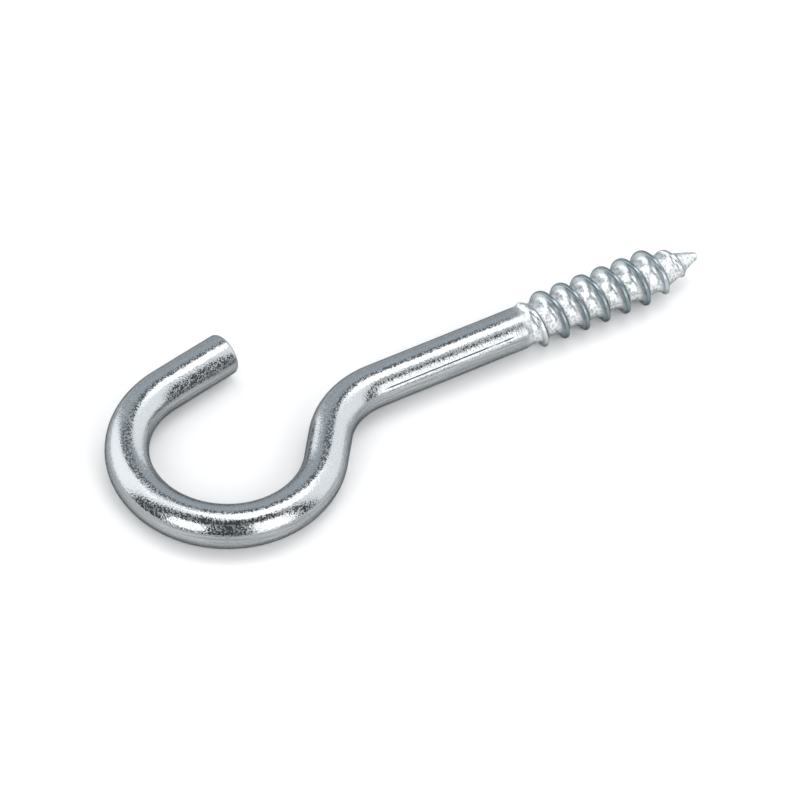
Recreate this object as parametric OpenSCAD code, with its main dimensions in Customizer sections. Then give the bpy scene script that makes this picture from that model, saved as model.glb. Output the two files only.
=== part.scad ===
// Screw hook: one round rod, bent into an open bowl at one end and
// thread-rolled to a gimlet point at the other.
//
// It lies flat. The shank's axis is X, with the point towards +X, and the
// bowl lies in the XY plane. The origin is on that axis, where the thread
// starts and the face of the wall or beam would be.

/* [Rod] */
// Diameter of the rod
rod_d = 5.2; // [4.8:0.1:6]
// Length of the plain straight shank, from the neck bend to the shoulder
plain_len = 19.7; // [10:0.1:60]

/* [Bends] */
// Centre-line radius of the neck bend, where the rod leaves the shank
neck_bend_r = 10.1; // [8:0.1:16]
// Angle of the neck bend, in degrees
neck_bend_angle = 53.4; // [40:0.2:70]
// Length of the straight run between the two bends
neck_run = 4.1; // [0.5:0.1:10]
// Inside diameter of the bowl
bowl_d = 18; // [14:0.5:40]
// Angle that the bowl turns through, in degrees
bowl_angle = 222; // [190:1:230]
// Length of the straight free end, after the bowl
free_end_len = 9.4; // [3:0.1:12]
// Radius of the worn edge round the cut face
cut_edge_r = 0.5; // [0.1:0.05:1]

/* [Thread] */
// Length from the start of the thread to the point
thread_len = 24.3; // [18:0.1:60]
// Outside diameter of the thread
thread_d = 6.5; // [6.1:0.1:8]
// Diameter at the root of the thread
root_d = 4.5; // [3.4:0.1:4.7]
// Axial rise of the thread for each turn
pitch = 2.83; // [2.4:0.01:4]
// Width of the ridge where it leaves the root
ridge_base_w = 1.3; // [0.9:0.05:1.7]
// Width of the ridge's flat crest
ridge_crest_w = 0.4; // [0.2:0.05:0.6]
// Turns over which the ridge rises out of the plain rod
run_in_turns = 1.6; // [1:0.1:3]
// Length of the shoulder from the rod down to the root
shoulder_len = 0.8; // [0.4:0.1:2]
// Turn of the thread about its axis, in degrees
thread_clock = 5; // [0:5:355]

/* [Point] */
// Length of the core's cone
point_len = 6.2; // [3:0.1:12]
// Length over which the ridge's crest comes down towards the point
ridge_taper_len = 7.1; // [4:0.1:14]
// Diameter of the blunt tip
tip_d = 0.8; // [0.4:0.1:2]

/* [Hidden] */
$fn = 48;
rod_r = rod_d / 2;
bowl_r = bowl_d / 2 + rod_r;
root_r = root_d / 2;
crest_r = thread_d / 2;
tip_r = tip_d / 2;
zinc = "lightsteelblue";
edge_steps = 6;

// The threaded end's skin follows the thread: a strip one pitch wide winds
// round the axis. Step i of it lies at angle 360 * i / turn_steps, and step
// i + turn_steps lies beside it, one pitch further on.
turn_steps = 36;
strip_from = -pitch;
strip_to = thread_len - tip_r - pitch / 2;
steps = floor((strip_to - strip_from) / pitch * turn_steps);

// Half of the strip, from its side up to the crest: [distance from the
// ridge's middle, share of the height from root to crest]. The flank bends
// outwards at flank_h and again at fillet_h, where it runs into the root.
root_side = 0.4 * pitch;
fillet_h = 0.06;
flank_h = 0.4;
flank_w = 0.64 * ridge_base_w;
half_strip = [
    [root_side, 0],
    [ridge_base_w / 2, fillet_h],
    [flank_w / 2, flank_h],
    [ridge_crest_w / 2, 1]
];
strip = [
    for (p = half_strip) [-p[0], p[1]],
    for (k = [len(half_strip) - 1 : -1 : 0]) half_strip[k]
];
side_a = 0;
side_b = len(strip) - 1;

// The crest comes up out of the rod and down to the point along these powers
// of the length, and the tip's dome has one ring of points at this angle
rise_power = 1.6;
fall_power = 1.25;
dome_angle = 45;

// The threaded end reaches back past the thread's start by these turns
rolled_back_turns = 1.5;
rolled_back = rolled_back_turns * pitch;
// Each straight run is this much slimmer than the bend that it meets, and the
// threaded end this much slimmer again, so that no two rims coincide
step_in = 0.01;

function ramp(x, from, to) = max(0, min(1, (x - from) / (to - from)));

function mix(a, b, share) = a + (b - a) * share;

// Radius of the core: plain rod, shoulder, root, and the cone of the point
function core_r_at(x) =
    x < 0 ? mix(rod_r - 2 * step_in, root_r, ramp(x, -shoulder_len, 0))
    : mix(root_r, tip_r, ramp(x, thread_len - point_len, thread_len - tip_r));

// Radius of the crest over a step of the strip, rising from the rod and
// coming down again at the point
function crest_r_at(i) =
    let (
        x = strip_from + pitch * i / turn_steps,
        rise = pow(min(1, i / (run_in_turns * turn_steps)), rise_power),
        fall = pow(ramp(x, thread_len - ridge_taper_len, thread_len - tip_r), fall_power)
    )
    mix(mix(rod_r, crest_r, rise), tip_r, fall);

function on_ring(i, r, x) =
    let (a = 360 * i / turn_steps)
    [r * cos(a), r * sin(a), x];

// At its two ends the strip lies down on the core
function strip_point(i, k) =
    let (
        x = strip_from + pitch * i / turn_steps + strip[k][0],
        share = i == 0 || i == steps ? 0 : strip[k][1],
        core = core_r_at(x)
    )
    on_ring(i, core + share * max(0, crest_r_at(i) - core), x);

function quad(a, b, c, d) = [[a, b, c], [a, c, d]];

// Triangles from one point to each link of a chain of points
function fan(hub, chain) = [
    for (j = [0 : len(chain) - 2]) [hub, chain[j], chain[j + 1]]
];

// Threaded end as one closed skin, along +Z
module threaded_end() {
    per_step = len(strip);
    back = steps - turn_steps;
    foot = per_step * (steps + 1);
    neck = foot + turn_steps;
    dome = neck + turn_steps;
    apex = dome + turn_steps;
    points = [
        for (i = [0 : steps], k = [side_a : side_b]) strip_point(i, k),
        for (i = [0 : turn_steps - 1]) on_ring(i, rod_r - 2 * step_in, -rolled_back),
        for (i = [0 : turn_steps - 1]) on_ring(back + i, tip_r, thread_len - tip_r),
        for (i = [0 : turn_steps - 1])
            on_ring(back + i, tip_r * cos(dome_angle), thread_len - tip_r * (1 - sin(dome_angle))),
        [0, 0, thread_len]
    ];
    function at(i, k) = per_step * i + k;
    function ring(first, i) = first + i % turn_steps;
    faces = [
        // Along the strip
        for (i = [0 : steps - 1], k = [side_a : side_b - 1])
            each quad(at(i, k), at(i, k + 1), at(i + 1, k + 1), at(i + 1, k)),
        // From each turn to the next
        for (i = [0 : back - 1])
            each quad(
                at(i, side_b), at(i + turn_steps, side_a),
                at(i + turn_steps + 1, side_a), at(i + 1, side_b)
            ),
        // From the plain rod to the first turn
        for (i = [0 : turn_steps - 2])
            each quad(ring(foot, i), at(i, side_a), at(i + 1, side_a), ring(foot, i + 1)),
        each fan(at(turn_steps - 1, side_a), [
            at(turn_steps, side_a),
            for (k = [side_b : -1 : side_a]) at(0, k),
            foot,
            ring(foot, turn_steps - 1)
        ]),
        // From the last turn to the tip
        for (i = [1 : turn_steps - 1])
            each quad(
                at(back + i, side_b), ring(neck, i),
                ring(neck, i + 1), at(back + i + 1, side_b)
            ),
        each fan(ring(neck, 1), [
            at(back + 1, side_b),
            at(back, side_b),
            for (k = [side_a : side_b]) at(steps, k),
            neck
        ]),
        for (i = [0 : turn_steps - 1])
            each quad(ring(neck, i), ring(dome, i), ring(dome, i + 1), ring(neck, i + 1)),
        for (i = [0 : turn_steps - 1]) [ring(dome, i), apex, ring(dome, i + 1)],
        // The foot, which meets the plain rod
        [for (i = [0 : turn_steps - 1]) foot + i]
    ];
    polyhedron(points = points, faces = faces);
}

// Lays what is built along +Z along +X, with its own +X turned to +Y
module along_x() {
    rotate([90, 0, 90])
        children();
}

// Straight run of rod along +X, and what follows it
module straight(length) {
    along_x()
        cylinder(h = length, r = rod_r - step_in);
    translate([length, 0, 0])
        children();
}

// All of space on one side of the plane across X, as far as the rod reaches
module half_space(side, reach) {
    translate([side > 0 ? 0 : -reach, -reach, -reach / 2])
        cube([reach, 2 * reach, reach]);
}

// Bend of the rod in the XY plane, to the left for side = 1 and to the right
// for side = -1, and what follows it. It is a whole ring, cut back to the
// planes of its two ends, so that what follows meets it face to face.
module bend(radius, angle, side) {
    reach = 2 * (radius + rod_r);
    module before_start() { half_space(-1, reach); }
    module past_end() { rotate([0, 0, side * angle]) half_space(1, reach); }
    translate([0, side * radius, 0]) {
        difference() {
            rotate_extrude()
                translate([radius, 0])
                    circle(r = rod_r);
            if (angle > 180)
                intersection() {
                    before_start();
                    past_end();
                }
            else {
                before_start();
                past_end();
            }
        }
        rotate([0, 0, side * angle])
            translate([0, -side * radius, 0])
                children();
    }
}

// Straight free end, cut square, with a worn edge round its face
module free_end() {
    end_r = rod_r - step_in;
    along_x()
        rotate_extrude()
            polygon([
                [0, 0],
                [end_r, 0],
                for (step = [0 : edge_steps])
                    let (a = 90 * step / edge_steps)
                    [
                        end_r - cut_edge_r + cut_edge_r * cos(a),
                        free_end_len - cut_edge_r + cut_edge_r * sin(a)
                    ],
                [0, free_end_len]
            ]);
}

module screw_hook() {
    color(zinc) {
        along_x()
            rotate(thread_clock)
                threaded_end();
        translate([-rolled_back, 0, 0])
            rotate([0, 0, 180])
                straight(shoulder_len + plain_len - rolled_back)
                    bend(neck_bend_r, neck_bend_angle, 1)
                        straight(neck_run)
                            bend(bowl_r, bowl_angle, -1)
                                free_end();
    }
}

screw_hook();
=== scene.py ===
"""A zinc-plated screw hook, lying on a pale floor in soft studio light.

The hook is one piece of rod: a rolled thread with a gimlet point, a plain
shank, a neck bend and an open bowl. Lengths are in millimetres until a point
goes into Blender, and MM turns them into metres.
"""

import math

import bpy
import numpy as np
from mathutils import Matrix, Vector

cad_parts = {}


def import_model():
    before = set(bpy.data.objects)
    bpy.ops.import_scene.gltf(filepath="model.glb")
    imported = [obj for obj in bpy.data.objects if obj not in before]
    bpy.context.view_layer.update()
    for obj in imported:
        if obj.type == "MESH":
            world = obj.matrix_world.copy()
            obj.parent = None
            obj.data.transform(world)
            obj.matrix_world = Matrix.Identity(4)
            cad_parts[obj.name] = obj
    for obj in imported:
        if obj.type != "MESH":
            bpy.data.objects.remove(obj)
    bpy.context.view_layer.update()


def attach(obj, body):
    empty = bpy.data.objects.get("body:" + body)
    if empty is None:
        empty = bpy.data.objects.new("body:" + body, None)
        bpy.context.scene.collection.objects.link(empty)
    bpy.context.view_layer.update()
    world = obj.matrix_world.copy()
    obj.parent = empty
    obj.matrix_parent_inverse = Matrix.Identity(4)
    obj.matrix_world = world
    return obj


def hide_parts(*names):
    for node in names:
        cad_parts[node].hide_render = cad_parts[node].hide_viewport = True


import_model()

MM = 0.001

# Rod and bends
ROD_R = 2.6
PLAIN_LEN = 19.7
SHOULDER_LEN = 0.8
NECK_BEND_R = 10.1
NECK_BEND_ANGLE = math.radians(53.4)
NECK_RUN = 4.1
BOWL_INSIDE_R = 9
BOWL_R = BOWL_INSIDE_R + ROD_R
BOWL_ANGLE = math.radians(222)
FREE_END_LEN = 9.4
CUT_EDGE_R = 0.5

# Thread
THREAD_LEN = 24.3
CREST_R = 3.25
ROOT_R = 2.25
PITCH = 2.83
THREAD_CLOCK = math.radians(5)
RUN_IN_TURNS = 1.6
RISE_POWER = 6

# The root is a little thicker at the first turns
FIRST_ROOT_R = 2.45
FIRST_ROOT_LEN = 3.4

# Burr that stands up where the thread begins
BURR_AT = -0.05
BURR_TURN = math.radians(62)
BURR_HEIGHT = 0.58
BURR_LEN = 0.4
BURR_SWEEP = math.radians(14)

# Point: the core's cone, the ridge that dies away over it, and a blunt tip
# that is bent a little to one side
POINT_LEN = 6.2
POINT_POWER = 1.3
RIDGE_TAPER_LEN = 7.1
RIDGE_TAPER_POWER = 1.25
RIDGE_END = (21.8, 23)
TIP_R = 0.62
TIP_LEN = 0.75
TIP_RISE = 0.2
TIP_RISE_LEN = 0.5 * POINT_LEN

# Section of the ridge: rounded crest, leaning flanks and wide root fillets
CREST_FLAT = 0.1
CREST_ROUND_R = 0.14
FLANK_LEAN = math.radians(20)
ROOT_FILLET_R = 0.85

# Fineness of the mesh
CREST_STEPS = 6
FLANK_STEPS = 3
FILLET_STEPS = 6
ROOT_STEPS = 5
SIDES = 96
BEND_STEP = math.radians(2)
SHANK_STEPS = 6
NECK_RUN_STEPS = 2
FREE_END_STEPS = 3
CUT_EDGE_STEPS = 6
SMOOTH_ANGLE = math.radians(40)

# The ridge is wound from some turns before the thread, and cut back to the
# plain rod. At the tip it is cut a little short, and the rim there is closed.
TURNS_BEFORE = 3
TURNS_KEPT = 1.5
ROLLED_BACK = TURNS_KEPT * PITCH
TIP_CUT = 0.03 * TIP_R
TIP_RIM = 0.1 * TIP_R

# How near two places have to be to count as one: the first two in metres, the
# next two in millimetres, and the last in radians
MERGE_M = 1e-6
CUT_M = 1e-7
RIM_NEAR = 1e-3
END_NEAR = 1e-4
TURN_NEAR = 1e-4


def only(obj):
    """Selects obj alone."""
    bpy.ops.object.select_all(action="DESELECT")
    obj.select_set(True)
    bpy.context.view_layer.objects.active = obj


def edit_all(obj):
    """Opens obj in edit mode with all of it selected."""
    only(obj)
    bpy.ops.object.mode_set(mode="EDIT")
    bpy.ops.mesh.select_all(action="SELECT")


def close_edit():
    bpy.ops.object.mode_set(mode="OBJECT")


def merge_doubles(obj):
    edit_all(obj)
    bpy.ops.mesh.remove_doubles(threshold=MERGE_M)
    close_edit()


def extrude(step):
    """Draws what is selected out along step, which is in millimetres."""
    bpy.ops.mesh.extrude_region_move(TRANSFORM_OT_translate={"value": step * MM})


def points_of(obj):
    """Points of obj in millimetres, one to a row."""
    co = np.empty(len(obj.data.vertices) * 3)
    obj.data.vertices.foreach_get("co", co)
    return co.reshape(-1, 3) / MM


def set_points(obj, co):
    obj.data.vertices.foreach_set("co", (co * MM).ravel())
    obj.data.update()


def ramp(x, start, end):
    """Rises from 0 at start to 1 at end, and stays level past them."""
    return np.clip((x - start) / (end - start), 0, 1)


def mix(a, b, share):
    return a + (b - a) * share


# Rolled thread


def ridge_outline():
    """Half the section over one pitch, from the crest's middle out to the root's
    middle: (distance along the axis, height over the root)."""
    height = CREST_R - ROOT_R
    right_angle = math.pi / 2
    points = [(0, height)]
    for step in range(CREST_STEPS + 1):
        turn = (right_angle - FLANK_LEAN) * step / CREST_STEPS
        drop = CREST_ROUND_R * (1 - math.cos(turn))
        points.append((CREST_FLAT + CREST_ROUND_R * math.sin(turn), height - drop))
    top_x, top_h = points[-1]
    foot_h = ROOT_FILLET_R * (1 - math.sin(FLANK_LEAN))
    foot_x = top_x + (top_h - foot_h) * math.tan(FLANK_LEAN)
    for step in range(1, FLANK_STEPS + 1):
        share = step / FLANK_STEPS
        points.append((mix(top_x, foot_x, share), mix(top_h, foot_h, share)))
    fillet_x = foot_x + ROOT_FILLET_R * math.cos(FLANK_LEAN)
    for step in range(1, FILLET_STEPS + 1):
        turn = FLANK_LEAN + (right_angle - FLANK_LEAN) * step / FILLET_STEPS
        out = ROOT_FILLET_R * math.cos(turn)
        points.append((fillet_x - out, ROOT_FILLET_R * (1 - math.sin(turn))))
    for step in range(1, ROOT_STEPS + 1):
        points.append((mix(fillet_x, PITCH / 2, step / ROOT_STEPS), 0))
    return points


def core_r_at(x):
    """Radius of the core: plain rod, shoulder, root, the cone of the point and its dome."""
    shoulder = mix(ROD_R, FIRST_ROOT_R, ramp(x, -SHOULDER_LEN, 0))
    root = mix(FIRST_ROOT_R, ROOT_R, ramp(x, 0, FIRST_ROOT_LEN))
    cone_end = THREAD_LEN - TIP_LEN
    cone = mix(root, TIP_R, ramp(x, THREAD_LEN - POINT_LEN, cone_end) ** POINT_POWER)
    past_cone = np.clip(x - cone_end, 0, None) / TIP_LEN
    dome = TIP_R * np.sqrt(np.clip(1 - past_cone ** 2, 0, None))
    return np.where(x < 0, shoulder, np.where(x < cone_end, cone, dome))


def crest_r_at(x):
    """Radius of the crest: it rises out of the rod and comes down at the point."""
    turns = (x + PITCH) / PITCH
    rise = np.clip(turns / RUN_IN_TURNS, 0, 1) ** RISE_POWER
    taper = ramp(x, THREAD_LEN - RIDGE_TAPER_LEN, THREAD_LEN - TIP_R)
    return mix(mix(ROD_R, CREST_R, rise), TIP_R, taper ** RIDGE_TAPER_POWER)


def wind_ridge():
    """The ridge's section, drawn out from one point and wound along the axis."""
    half = ridge_outline()
    section = [(-x, h) for x, h in reversed(half[1:])] + half
    start_x = -THREAD_CLOCK / math.tau * PITCH - TURNS_BEFORE * PITCH
    bpy.ops.object.select_all(action="DESELECT")
    bpy.ops.mesh.primitive_plane_add(size=MM)
    hook = bpy.context.object
    hook.name = "bent_rod"
    edit_all(hook)
    bpy.ops.mesh.merge(type="CENTER")
    first = Vector((start_x + section[0][0], ROOT_R + section[0][1], 0))
    bpy.ops.transform.translate(value=first * MM)
    for (x0, h0), (x1, h1) in zip(section, section[1:]):
        extrude(Vector((x1 - x0, h1 - h0, 0)))
    close_edit()
    winding = hook.modifiers.new("winding", "SCREW")
    winding.axis = "X"
    winding.angle = math.tau
    winding.screw_offset = PITCH * MM
    winding.iterations = math.ceil((THREAD_LEN - start_x) / PITCH) + 1
    winding.steps = SIDES
    winding.render_steps = SIDES
    bpy.ops.object.modifier_apply(modifier=winding.name)
    merge_doubles(hook)
    return hook


def fit_thread(hook):
    """Moves each point of the wound ridge in or out to the rod, the root and the point."""
    co = points_of(hook)
    x = co[:, 0]
    around = np.hypot(co[:, 1], co[:, 2])
    turn = np.arctan2(co[:, 2], co[:, 1])
    share = (around - ROOT_R) / (CREST_R - ROOT_R)
    ridge_x = PITCH * (turn - THREAD_CLOCK) / math.tau
    ridge_x = ridge_x + PITCH * np.round((x - ridge_x) / PITCH)
    core = core_r_at(x)
    ridge = np.clip(crest_r_at(ridge_x) - core, 0, None) * (1 - ramp(ridge_x, *RIDGE_END))
    burr = np.exp(-np.abs((x - BURR_AT) / BURR_LEN) - ((turn - BURR_TURN) / BURR_SWEEP) ** 2)
    radius = core + share * ridge + BURR_HEIGHT * burr
    lift = TIP_RISE * ramp(x, THREAD_LEN - TIP_RISE_LEN, THREAD_LEN)
    set_points(hook, np.stack([x, radius * np.cos(turn) + lift, radius * np.sin(turn)], axis=1))
    over_root = hook.data.attributes.new("over_root", "FLOAT", "POINT")
    raised = share * ridge / (CREST_R - ROOT_R)
    over_root.data.foreach_set("value", raised.astype(np.float32))


def cut_thread(hook):
    """Cuts the thread square where the plain rod goes on, and at the very tip."""
    for x, side in ((-ROLLED_BACK, -1), (THREAD_LEN - TIP_CUT, 1)):
        edit_all(hook)
        bpy.ops.mesh.bisect(
            plane_co=(x * MM, 0, 0),
            plane_no=(side, 0, 0),
            clear_outer=True,
            threshold=CUT_M,
        )
        close_edit()


def even_rim(hook):
    """Draws the points of the cut rim together to SIDES even places."""
    co = points_of(hook)
    rim = np.abs(co[:, 0] + ROLLED_BACK) < RIM_NEAR
    turn = np.arctan2(co[rim, 2], co[rim, 1])
    turn = np.round(turn / math.tau * SIDES) * math.tau / SIDES
    co[rim, 0] = -ROLLED_BACK
    co[rim, 1] = ROD_R * np.cos(turn)
    co[rim, 2] = ROD_R * np.sin(turn)
    set_points(hook, co)
    merge_doubles(hook)


def edit_ring(hook, test):
    """Opens hook in edit mode with only the edges selected whose two points pass the test."""
    only(hook)
    bpy.context.tool_settings.mesh_select_mode = (False, True, False)
    for face in hook.data.polygons:
        face.select = False
    for vertex in hook.data.vertices:
        vertex.select = False
    chosen = [test(vertex.co / MM) for vertex in hook.data.vertices]
    for edge in hook.data.edges:
        edge.select = chosen[edge.vertices[0]] and chosen[edge.vertices[1]]
    bpy.ops.object.mode_set(mode="EDIT")


def close_tip(hook):
    edit_ring(hook, lambda point: point.x > THREAD_LEN - TIP_RIM)
    bpy.ops.mesh.edge_face_add()
    bpy.ops.mesh.poke()
    close_edit()


# Bent rod


class Route:
    """Where the rod's end is while it is drawn out and bent: its place and heading."""

    def __init__(self):
        self.place = Vector((-ROLLED_BACK, 0, 0))
        self.heading = math.pi

    def ahead(self):
        return Vector((math.cos(self.heading), math.sin(self.heading), 0))

    def left(self):
        return Vector((-math.sin(self.heading), math.cos(self.heading), 0))

    def run(self, length, steps):
        """Draws the selected ring out straight."""
        for _ in range(steps):
            extrude(self.ahead() * (length / steps))
        self.place += self.ahead() * length

    def bend(self, radius, angle, side):
        """Spins the selected ring round the bend's centre, to the left for side 1."""
        centre = self.place + self.left() * (side * radius)
        bpy.ops.mesh.spin(
            steps=round(angle / BEND_STEP),
            angle=angle,
            center=centre * MM,
            axis=(0, 0, -side),
        )
        arm = self.place - centre
        arm.rotate(Matrix.Rotation(side * angle, 3, "Z"))
        self.place = centre + arm
        self.heading += side * angle


def bend_rod(hook):
    """Draws the thread's rim out into the shank, the neck, the bowl and the free end."""
    edit_ring(hook, lambda point: point.x < -ROLLED_BACK + RIM_NEAR)
    route = Route()
    route.run(SHOULDER_LEN + PLAIN_LEN - ROLLED_BACK, SHANK_STEPS)
    route.bend(NECK_BEND_R, NECK_BEND_ANGLE, 1)
    route.run(NECK_RUN, NECK_RUN_STEPS)
    route.bend(BOWL_R, BOWL_ANGLE, -1)
    route.run(FREE_END_LEN, FREE_END_STEPS)
    bpy.ops.mesh.edge_face_add()
    bpy.ops.mesh.bevel(
        offset=CUT_EDGE_R * MM,
        offset_type="OFFSET",
        segments=CUT_EDGE_STEPS,
        affect="EDGES",
    )
    close_edit()


# A point within this distance of a stretch's middle line belongs to it, and the
# bowl's angle is counted from a little before its start
ROD_REACH = ROD_R * 1.05
BEFORE_BOWL = 0.5


def ahead_and_left(heading):
    ahead = np.array([math.cos(heading), math.sin(heading)])
    return ahead, np.array([-ahead[1], ahead[0]])


def note_straight_place(hook):
    """Keeps, for the finish, where each point lay on the rod before it was bent."""
    co = points_of(hook)
    flat = co[:, :2]
    straight = co.copy()

    # Start and end of each stretch of the rod's middle line
    neck_x = -SHOULDER_LEN - PLAIN_LEN
    neck_centre = np.array([neck_x, -NECK_BEND_R])
    ahead, left = ahead_and_left(math.pi + NECK_BEND_ANGLE)
    neck_end = neck_centre - NECK_BEND_R * left
    bowl_centre = neck_end + NECK_RUN * ahead - BOWL_R * left
    end_ahead, end_left = ahead_and_left(math.pi + NECK_BEND_ANGLE - BOWL_ANGLE)
    bowl_end = bowl_centre + BOWL_R * end_left

    # Distance along each stretch, and to its side
    from_neck = flat - neck_centre
    neck_turn = np.arctan2(-from_neck[:, 0], from_neck[:, 1])
    neck_out = np.hypot(from_neck[:, 0], from_neck[:, 1])
    run = (flat - neck_end) @ ahead
    run_side = (flat - neck_end) @ left
    from_bowl = flat - bowl_centre
    bowl_turn = np.arctan2(from_bowl @ ahead, from_bowl @ left)
    bowl_turn = np.mod(bowl_turn + BEFORE_BOWL, math.tau) - BEFORE_BOWL
    bowl_out = np.hypot(from_bowl[:, 0], from_bowl[:, 1])
    free = (flat - bowl_end) @ end_ahead
    free_side = (flat - bowl_end) @ end_left

    # Which stretch each point belongs to
    in_neck = (neck_turn > -TURN_NEAR) & (neck_turn < NECK_BEND_ANGLE + TURN_NEAR)
    in_neck &= np.abs(neck_out - NECK_BEND_R) < ROD_REACH
    in_run = (run > -END_NEAR) & (run < NECK_RUN + END_NEAR) & (np.abs(run_side) < ROD_REACH)
    in_free = (free > -END_NEAR) & (np.abs(free_side) < ROD_REACH)
    in_bowl = (np.abs(bowl_out - BOWL_R) < ROD_REACH) & ~in_run & ~in_neck & ~in_free

    bowl_from = NECK_BEND_R * NECK_BEND_ANGLE + NECK_RUN
    free_from = bowl_from + BOWL_R * BOWL_ANGLE
    for where, length, side in (
        (in_neck, NECK_BEND_R * neck_turn, NECK_BEND_R - neck_out),
        (in_run, NECK_BEND_R * NECK_BEND_ANGLE + run, run_side),
        (in_bowl, bowl_from + BOWL_R * bowl_turn, bowl_out - BOWL_R),
        (in_free, free_from + free, free_side),
    ):
        straight[where, 0] = neck_x - length[where]
        straight[where, 1] = -side[where]
    kept = hook.data.attributes.new("straight_place", "FLOAT_VECTOR", "POINT")
    kept.data.foreach_set("vector", (straight * MM).astype(np.float32).ravel())


def face_outwards(hook):
    edit_all(hook)
    bpy.ops.mesh.normals_make_consistent(inside=False)
    close_edit()


hook = wind_ridge()
fit_thread(hook)
cut_thread(hook)
even_rim(hook)
close_tip(hook)
bend_rod(hook)
face_outwards(hook)
bpy.ops.object.shade_smooth_by_angle(angle=SMOOTH_ANGLE)
note_straight_place(hook)
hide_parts("screw_hook")
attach(hook, "root")


# Node trees


class Tree:
    """Adds nodes to one node tree, and joins them."""

    def __init__(self, node_tree):
        self.node_tree = node_tree
        self.nodes = node_tree.nodes
        self.links = node_tree.links

    def add(self, kind, inputs=None, **settings):
        node = self.nodes.new(kind)
        for name, value in settings.items():
            setattr(node, name, value)
        for name, value in (inputs or {}).items():
            self.feed(node.inputs[name], value)
        return node

    def feed(self, socket, value):
        if isinstance(value, bpy.types.NodeSocket):
            self.links.new(value, socket)
        else:
            socket.default_value = value

    def use(self, group, inputs):
        """Places a shared node group, with its own values."""
        node = self.add("ShaderNodeGroup", node_tree=group)
        for name, value in inputs.items():
            self.feed(node.inputs[name], value)
        return node.outputs

    def maths(self, operation, first, second=0.0):
        return self.add("ShaderNodeMath", {0: first, 1: second}, operation=operation).outputs[0]

    def plus(self, first, second):
        return self.maths("ADD", first, second)

    def times(self, first, *others):
        for other in others:
            first = self.maths("MULTIPLY", first, other)
        return first

    def noise(self, vector, scale, detail=2.0, roughness=0.5):
        inputs = {"Vector": vector, "Scale": scale, "Detail": detail, "Roughness": roughness}
        return self.add("ShaderNodeTexNoise", inputs).outputs["Fac"]

    def range(self, value, low, high, to_low=0.0, to_high=1.0):
        """Goes from to_low where value is low to to_high where it is high."""
        inputs = {"Value": value, "From Min": low, "From Max": high}
        inputs.update({"To Min": to_low, "To Max": to_high})
        return self.add("ShaderNodeMapRange", inputs).outputs["Result"]

    def between(self, value, limits, to_low=0.0, to_high=1.0):
        """The same between two limits in millimetres."""
        return self.range(value, limits[0] * MM, limits[1] * MM, to_low, to_high)

    def blend(self, share, first, second):
        node = self.add("ShaderNodeMix", {0: share, 6: first, 7: second}, data_type="RGBA")
        return node.outputs[2]


def new_material(name):
    material = bpy.data.materials.new(name)
    material.use_nodes = True
    return material, Tree(material.node_tree)


def new_group(name, inputs, outputs):
    """Empty node group with named sockets, as a Tree with its two ends."""
    tree = Tree(bpy.data.node_groups.new(name, "ShaderNodeTree"))
    sockets = tree.node_tree.interface
    for label, kind, value in inputs:
        socket = sockets.new_socket(name=label, in_out="INPUT", socket_type=kind)
        if value is not None:
            socket.default_value = value
    for label, kind in outputs:
        sockets.new_socket(name=label, in_out="OUTPUT", socket_type=kind)
    tree.inside = tree.nodes.new("NodeGroupInput").outputs
    tree.outside = tree.nodes.new("NodeGroupOutput").inputs
    return tree


# Zinc plate


# Grain of the plating: how low its noise is in a pit, and how high in a speckle
GRAIN_SIZE = 0.21 * MM
THREAD_GRAIN_SIZE = 0.17 * MM
GRAIN_DETAIL = 1.0
GRAIN_ROUGHNESS = 0.4
PIT_LEVELS = (0.4, 0.52)
PIT_SWELL = 0.5
SPECKLE_LEVELS = (0.5, 0.57)


def grain_group():
    """Fine uneven skin of the plating: a height and a speckle mask."""
    tree = new_group(
        "plating_grain",
        [("Place", "NodeSocketVector", None), ("Grain Size", "NodeSocketFloat", GRAIN_SIZE)],
        [("Height", "NodeSocketFloat"), ("Speckle", "NodeSocketFloat")],
    )
    scale = tree.maths("DIVIDE", 1.0, tree.inside["Grain Size"])
    fine = tree.noise(tree.inside["Place"], scale, GRAIN_DETAIL, GRAIN_ROUGHNESS)
    height = tree.plus(tree.range(fine, *PIT_LEVELS), tree.times(fine, PIT_SWELL))
    tree.feed(tree.outside["Height"], height)
    tree.feed(tree.outside["Speckle"], tree.range(fine, *SPECKLE_LEVELS))
    return tree.node_tree


# Lines drawn along the wire by the die, and rolled round the shoulder
DRAWN_STRETCH = (0.02, 1, 1)
DRAWN_LINE_WIDTH = 0.12 * MM
ROLLED_STRETCH = (1, 0.1, 0.1)
ROLLED_LINE_WIDTH = 0.2 * MM
LINE_DETAIL = 1.0


def tool_marks_group():
    """Fine lines, drawn out along the axes where Stretch is small."""
    tree = new_group(
        "tool_marks",
        [
            ("Place", "NodeSocketVector", None),
            ("Stretch", "NodeSocketVector", DRAWN_STRETCH),
            ("Line Width", "NodeSocketFloat", DRAWN_LINE_WIDTH),
        ],
        [("Height", "NodeSocketFloat")],
    )
    factors = {0: tree.inside["Place"], 1: tree.inside["Stretch"]}
    lines = tree.add("ShaderNodeVectorMath", factors, operation="MULTIPLY").outputs[0]
    scale = tree.maths("DIVIDE", 1.0, tree.inside["Line Width"])
    tree.feed(tree.outside["Height"], tree.noise(lines, scale, LINE_DETAIL))
    return tree.node_tree


# Where the finish changes, in millimetres along the rod and to its side
THREAD_FROM = (-1.2, 0.2)
ROLLED_FROM = (-3.3, -2.1)
ROLLED_TO = (3.2, 1.2)
DRAWN_SIDE = (2.08, 2.42)
# Side band of the rod where the drawn lines get their painted dark reflection
DRAWN_LINE_PAINTED_REFLECTION_SIDE = (2.08, 2.38)

# Height over the root, as a share of the ridge, where root and crest begin
ROOT_SHARES = (0.32, 0.08)
CREST_SHARES = (0.72, 0.86)

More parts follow.
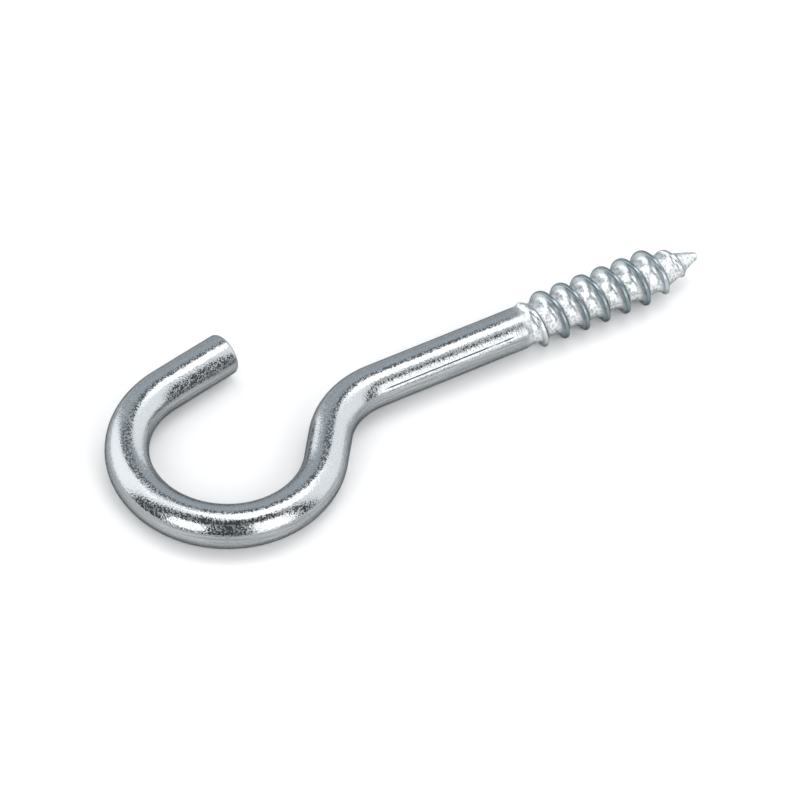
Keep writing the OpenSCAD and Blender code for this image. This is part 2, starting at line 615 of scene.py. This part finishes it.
# Height of each kind of mark in the bump, and the depth that height 1 stands for
GRAIN_HEIGHT = 0.8
FLANK_HEIGHT = 0.35
ROOT_HEIGHT = 0.55
DRAWN_HEIGHT = (0.15, 2.2)
ROLLED_HEIGHT = 7.0
MARK_DEPTH = 0.0046 * MM

# Colours of the bare rod
PLAIN_PIT = (0.38, 0.395, 0.408, 1)
PLAIN_SPECKLE = (0.425, 0.44, 0.452, 1)
# The dark line colour is the die's drawn lines, darkened further as a painted dark reflection of a gap
# in the lights
DRAWN_LINE_PAINTED_REFLECTION = (0.27, 0.29, 0.305, 1)
DRAWN_LINE_PAINTED_REFLECTION_LEVELS = (0.56, 0.44)
SCRATCH = (0.05, 0.055, 0.06, 1)

# Colours of the thread: cloudy roots with dark specks, made bright as a painted highlight, and crests
# made dark as a painted reflection
ROOT_MINT_PAINTED_HIGHLIGHT = (0.7, 0.74, 0.73, 1)
ROOT_LILAC_PAINTED_HIGHLIGHT = (0.76, 0.74, 0.77, 1)
ROOT_SPECK = (0.4, 0.44, 0.44, 1)
FLANK = (0.53, 0.555, 0.585, 1)
FLANK_SPECK = (0.45, 0.485, 0.495, 1)
CREST_PAINTED_REFLECTION = (0.22, 0.265, 0.28, 1)
CLOUD_SCALE = 420
CLOUD_LEVELS = (0.4, 0.6)
SPECK_SCALE = 3000
SPECK_ROUGHNESS = 0.6
SPECK_LEVELS = (0.5, 0.58)
EDGE_TINT = (0.25, 0.27, 0.28, 1)

# Roughness in the grain's pits and speckles, on the thread, and what its roots add
PIT_ROUGH = 0.05
SPECKLE_ROUGH = 0.32
THREAD_ROUGH = 0.27
ROOT_MORE_ROUGH = 0.11

# Thin broken scratch along the shank, at this turn round the rod
SCRATCH_TURN = math.radians(145)
SCRATCH_HALF_WIDTH = (0.12, 0.07)
SCRATCH_SIDE = (-1.5, -1.9)
SCRATCH_FROM = (-20.6, -19.6)
SCRATCH_TO = (-2.4, -3.2)
SCRATCH_BREAK_SCALE = 450
SCRATCH_BREAK_LEVELS = (0.36, 0.46)


class Plating:
    """Masks and marks of the zinc plate, by where each point lay on the straight rod."""

    def __init__(self, tree):
        self.tree = tree
        place = tree.add("ShaderNodeAttribute", attribute_name="straight_place").outputs["Vector"]
        ridge = tree.add("ShaderNodeAttribute", attribute_name="over_root").outputs["Fac"]
        self.place = place
        self.straight = tree.add("ShaderNodeSeparateXYZ", {0: place}).outputs
        along = self.straight["X"]
        self.side = tree.maths("ABSOLUTE", self.straight["Y"])
        self.threaded = tree.between(along, THREAD_FROM)
        self.bare = tree.range(self.threaded, 1, 0)
        self.root = tree.times(self.threaded, tree.range(ridge, *ROOT_SHARES))
        self.crest = tree.times(self.threaded, tree.range(ridge, *CREST_SHARES))
        self.rolled = tree.times(tree.between(along, ROLLED_FROM), tree.between(along, ROLLED_TO))
        skin = grain_group()
        self.grain = tree.use(skin, {"Place": place, "Grain Size": GRAIN_SIZE})
        self.thread_grain = tree.use(skin, {"Place": place, "Grain Size": THREAD_GRAIN_SIZE})
        marks = tool_marks_group()
        self.drawn_marks = tree.use(marks, {"Place": place})
        values = {"Place": place, "Stretch": ROLLED_STRETCH, "Line Width": ROLLED_LINE_WIDTH}
        self.rolled_marks = tree.use(marks, values)

    def bump(self):
        """Grain on the bare rod and the thread, drawn lines and rolled marks."""
        tree = self.tree
        share = tree.range(self.threaded, 0, 1, GRAIN_HEIGHT, 0.0)
        height = tree.times(self.grain["Height"], share)
        share = tree.range(self.root, 0, 1, FLANK_HEIGHT, ROOT_HEIGHT)
        height = tree.plus(height, tree.times(self.thread_grain["Height"], share, self.threaded))
        drawn = tree.times(tree.between(self.side, DRAWN_SIDE, *DRAWN_HEIGHT), self.bare)
        height = tree.plus(height, tree.times(self.drawn_marks["Height"], drawn))
        rolled = tree.times(self.rolled, ROLLED_HEIGHT)
        height = tree.plus(height, tree.times(self.rolled_marks["Height"], rolled))
        inputs = {"Height": height, "Distance": MARK_DEPTH, "Strength": 1.0}
        return tree.add("ShaderNodeBump", inputs).outputs[0]

    def scratch(self):
        """Share of one thin broken line, drawn along the shank below its front band."""
        tree = self.tree
        out_y = tree.times(self.straight["Y"], -math.sin(SCRATCH_TURN))
        out_z = tree.times(self.straight["Z"], math.cos(SCRATCH_TURN))
        off = tree.maths("ABSOLUTE", tree.plus(out_y, out_z))
        broken = tree.noise(self.place, SCRATCH_BREAK_SCALE, LINE_DETAIL)
        return tree.times(
            tree.between(off, SCRATCH_HALF_WIDTH),
            tree.between(self.straight["Y"], SCRATCH_SIDE),
            tree.between(self.straight["X"], SCRATCH_FROM),
            tree.between(self.straight["X"], SCRATCH_TO),
            tree.range(broken, *SCRATCH_BREAK_LEVELS),
        )

    def bare_colour(self):
        """Speckled grey, with the scratch, and drawn lines on the rod's sides darkened by a painted
        dark reflection.
        """
        tree = self.tree
        plain = tree.blend(self.grain["Speckle"], PLAIN_PIT, PLAIN_SPECKLE)
        # The drawn lines, darkened as a painted dark reflection
        line = tree.range(self.drawn_marks["Height"], *DRAWN_LINE_PAINTED_REFLECTION_LEVELS)
        line = tree.times(line, tree.between(self.side, DRAWN_LINE_PAINTED_REFLECTION_SIDE))
        return tree.blend(self.scratch(), tree.blend(line, plain, DRAWN_LINE_PAINTED_REFLECTION), SCRATCH)

    def colour(self):
        tree = self.tree
        cloud = tree.range(tree.noise(self.place, CLOUD_SCALE), *CLOUD_LEVELS)
        speck = tree.noise(self.place, SPECK_SCALE, roughness=SPECK_ROUGHNESS)
        speck = tree.range(speck, *SPECK_LEVELS)
        # Roots carry a bright painted highlight under their cloud and specks; crests carry a dark
        # painted reflection
        root = tree.blend(speck, tree.blend(cloud, ROOT_MINT_PAINTED_HIGHLIGHT, ROOT_LILAC_PAINTED_HIGHLIGHT), ROOT_SPECK)
        flank = tree.blend(self.crest, tree.blend(speck, FLANK, FLANK_SPECK), CREST_PAINTED_REFLECTION)
        return tree.blend(self.root, tree.blend(self.threaded, self.bare_colour(), flank), root)

    def roughness(self):
        tree = self.tree
        smooth = tree.times(self.bare, tree.range(self.rolled, 1, 0))
        bright = tree.range(self.grain["Speckle"], 0, 1, PIT_ROUGH, SPECKLE_ROUGH)
        rough = tree.add("ShaderNodeMix", {0: smooth, 2: THREAD_ROUGH, 3: bright}).outputs[0]
        return tree.plus(rough, tree.times(self.root, ROOT_MORE_ROUGH))


def zinc_plate():
    material, tree = new_material("zinc_plate")
    shader = tree.nodes["Principled BSDF"].inputs
    plating = Plating(tree)
    tree.feed(shader["Normal"], plating.bump())
    tree.feed(shader["Base Color"], plating.colour())
    tree.feed(shader["Roughness"], plating.roughness())
    shader["Metallic"].default_value = 1
    shader["Specular Tint"].default_value = EDGE_TINT
    return material


hook.data.materials.append(zinc_plate())


# Camera


VIEW_AZIMUTH = math.radians(-31.83)
VIEW_ELEVATION = math.radians(49.09)
VIEW_ROLL = math.radians(3.06)
VIEW_TARGET = Vector((-18.85, -3.26, 0))
VIEW_DISTANCE = 565.2
VIEW_LENS = 216.8
SENSOR_WIDTH = 36
NEAREST_M = 0.01
FARTHEST_M = 100


def camera():
    back = Vector((
        math.sin(VIEW_AZIMUTH) * math.cos(VIEW_ELEVATION),
        -math.cos(VIEW_AZIMUTH) * math.cos(VIEW_ELEVATION),
        math.sin(VIEW_ELEVATION),
    ))
    level = Vector((math.cos(VIEW_AZIMUTH), math.sin(VIEW_AZIMUTH), 0))
    above = back.cross(level)
    right = math.cos(VIEW_ROLL) * level + math.sin(VIEW_ROLL) * above
    up = -math.sin(VIEW_ROLL) * level + math.cos(VIEW_ROLL) * above
    place = (VIEW_TARGET + VIEW_DISTANCE * back) * MM
    data = bpy.data.cameras.new("photo_camera")
    data.lens = VIEW_LENS
    data.sensor_width = SENSOR_WIDTH
    data.clip_start = NEAREST_M
    data.clip_end = FARTHEST_M
    eye = bpy.data.objects.new("photo_camera", data)
    turn = Matrix((right, up, back)).transposed()
    eye.matrix_world = Matrix.Translation(place) @ turn.to_4x4()
    bpy.context.scene.collection.objects.link(eye)
    bpy.context.scene.camera = eye


# Floor


# Where the hook rests: on a crest of the thread and on the bowl's underside
REST_THREAD_X = 15.8
REST_BOWL_X = -52
FLOOR_SIZE_M = 8
FLOOR_GAP = 0.02
FLOOR_WHITE = (0.88, 0.88, 0.88, 1)
FLOOR_ROUGH = 0.8


def floor():
    """Touches the thread's crests and the bowl's underside, so it leans a little."""
    slope = (CREST_R - ROD_R) / (REST_THREAD_X - REST_BOWL_X)
    below = ROD_R - slope * REST_BOWL_X + FLOOR_GAP
    bpy.ops.object.select_all(action="DESELECT")
    bpy.ops.mesh.primitive_plane_add(size=FLOOR_SIZE_M, location=(0, 0, -below * MM))
    plane = bpy.context.object
    plane.rotation_euler.y = math.atan(slope)
    plane.name = "floor"
    material, tree = new_material("floor_white")
    shader = tree.nodes["Principled BSDF"].inputs
    shader["Base Color"].default_value = FLOOR_WHITE
    shader["Roughness"].default_value = FLOOR_ROUGH
    shader["Specular IOR Level"].default_value = 0
    plane.data.materials.append(material)


# Lights


# Distances in metres from CENTRE to the softboxes, to the cards behind them, and
# to the card that stands behind those
SOFTBOX_R = 1.5
CARD_R = 1.2 * SOFTBOX_R
TOP_CARD_R = 1.1 * CARD_R
CENTRE = Vector((-15, 0, 0)) * MM

# Watts that one square metre of softbox takes for a radiance of 1
SOFTBOX_WATTS = 4

# Strength of the white world on the floor, and in the camera and the metal
FLOOR_FILL = 0.53
SEEN_WHITE = 1.0


def upright(azimuths, elevations, distance=SOFTBOX_R):
    """Place and size of a standing panel that fills these angles, seen from the hook."""
    middle = math.radians(sum(azimuths) / 2)
    width = 2 * distance * math.tan(math.radians(azimuths[1] - azimuths[0]) / 2)
    low, high = (distance * math.tan(math.radians(e)) for e in elevations)
    out = Vector((math.cos(middle), math.sin(middle), 0))
    across = Vector((-out.y, out.x, 0))
    turn = Matrix((across, Vector((0, 0, 1)), out)).transposed()
    place = CENTRE + out * distance + Vector((0, 0, (low + high) / 2))
    return Matrix.Translation(place) @ turn.to_4x4(), width, high - low


def overhead(xs, ys, distance=SOFTBOX_R):
    """Place and size of a panel lying overhead, its edges given as shares of its height."""
    place = CENTRE + Vector((sum(xs) / 2, sum(ys) / 2, 1)) * distance
    return Matrix.Translation(place), (xs[1] - xs[0]) * distance, (ys[1] - ys[0]) * distance


def softbox(name, where, radiance, tint=(1, 1, 1)):
    matrix, width, height = where
    data = bpy.data.lights.new(name, "AREA")
    data.shape = "RECTANGLE"
    data.size = width
    data.size_y = height
    data.energy = radiance * SOFTBOX_WATTS * width * height
    data.color = tint
    panel = bpy.data.objects.new(name, data)
    panel.matrix_world = matrix
    panel.visible_camera = False
    bpy.context.scene.collection.objects.link(panel)


def card(name, where, colour):
    """Grey card behind the softboxes, which neither the camera nor the floor sees."""
    matrix, width, height = where
    bpy.ops.object.select_all(action="DESELECT")
    bpy.ops.mesh.primitive_plane_add(size=1)
    panel = bpy.context.object
    panel.name = name
    panel.matrix_world = matrix @ Matrix.Diagonal((width, height, 1, 1))
    material, tree = new_material(name)
    tree.nodes.clear()
    glow = tree.add("ShaderNodeEmission", {"Color": (*colour, 1)})
    tree.add("ShaderNodeOutputMaterial", {"Surface": glow.outputs[0]})
    panel.data.materials.append(material)
    panel.visible_camera = False
    panel.visible_diffuse = False
    panel.visible_shadow = False


def world():
    """White to the camera and in the metal, and a dimmer white fill on the floor."""
    sky = bpy.data.worlds.new("studio")
    sky.use_nodes = True
    tree = Tree(sky.node_tree)
    paths = tree.add("ShaderNodeLightPath").outputs
    seen = tree.maths("MAXIMUM", paths["Is Camera Ray"], paths["Is Glossy Ray"])
    seen = tree.maths("MAXIMUM", seen, paths["Is Transmission Ray"])
    background = tree.nodes["Background"].inputs
    background["Color"].default_value = (1, 1, 1, 1)
    tree.feed(background["Strength"], tree.range(seen, 0, 1, FLOOR_FILL, SEEN_WHITE))
    bpy.context.scene.world = sky


camera()
floor()
world()

# Softboxes that the rod's bright bands mirror
softbox("top_softbox", overhead((-0.06, 0.62), (-0.15, 0.36)), radiance=2.15)
softbox("top_back_softbox", overhead((-0.06, 0.2), (0.36, 0.56)), radiance=1.1)
softbox("top_left_softbox", overhead((-0.45, -0.06), (0.17, 0.5)), radiance=0.95, tint=(0.96, 0.98, 1))
softbox("left_panel", upright((99, 157), (0, 62)), radiance=0.92, tint=(0.95, 0.975, 1))
softbox("front_left_softbox", upright((191, 223), (10, 48)), radiance=2.35)
softbox("front_right_softbox", upright((264, 299), (2, 50)), radiance=2.35)
softbox("right_panel", upright((-42, 33), (0, 60)), radiance=0.65, tint=(0.93, 0.965, 1))

# Cards that its grey and dark bands mirror
card("back_card", upright((33, 99), (0, 46), CARD_R), colour=(0.71, 0.78, 0.83))
card("back_top_card", upright((33, 103), (44, 68), TOP_CARD_R), colour=(0.25, 0.28, 0.3))
card("left_top_card", overhead((-1.0, -0.06), (-0.15, 0.17), CARD_R), colour=(0.15, 0.165, 0.175))
card("front_left_card", upright((158, 237), (0, 62), CARD_R), colour=(0.12, 0.14, 0.15))
card("front_right_card", upright((235, 320), (0, 62), CARD_R), colour=(0.14, 0.155, 0.165))
card("front_top_card", overhead((-1.0, 0.3), (-1.0, -0.15), CARD_R), colour=(0.12, 0.13, 0.135))

bpy.context.scene.view_settings.view_transform = "Standard"
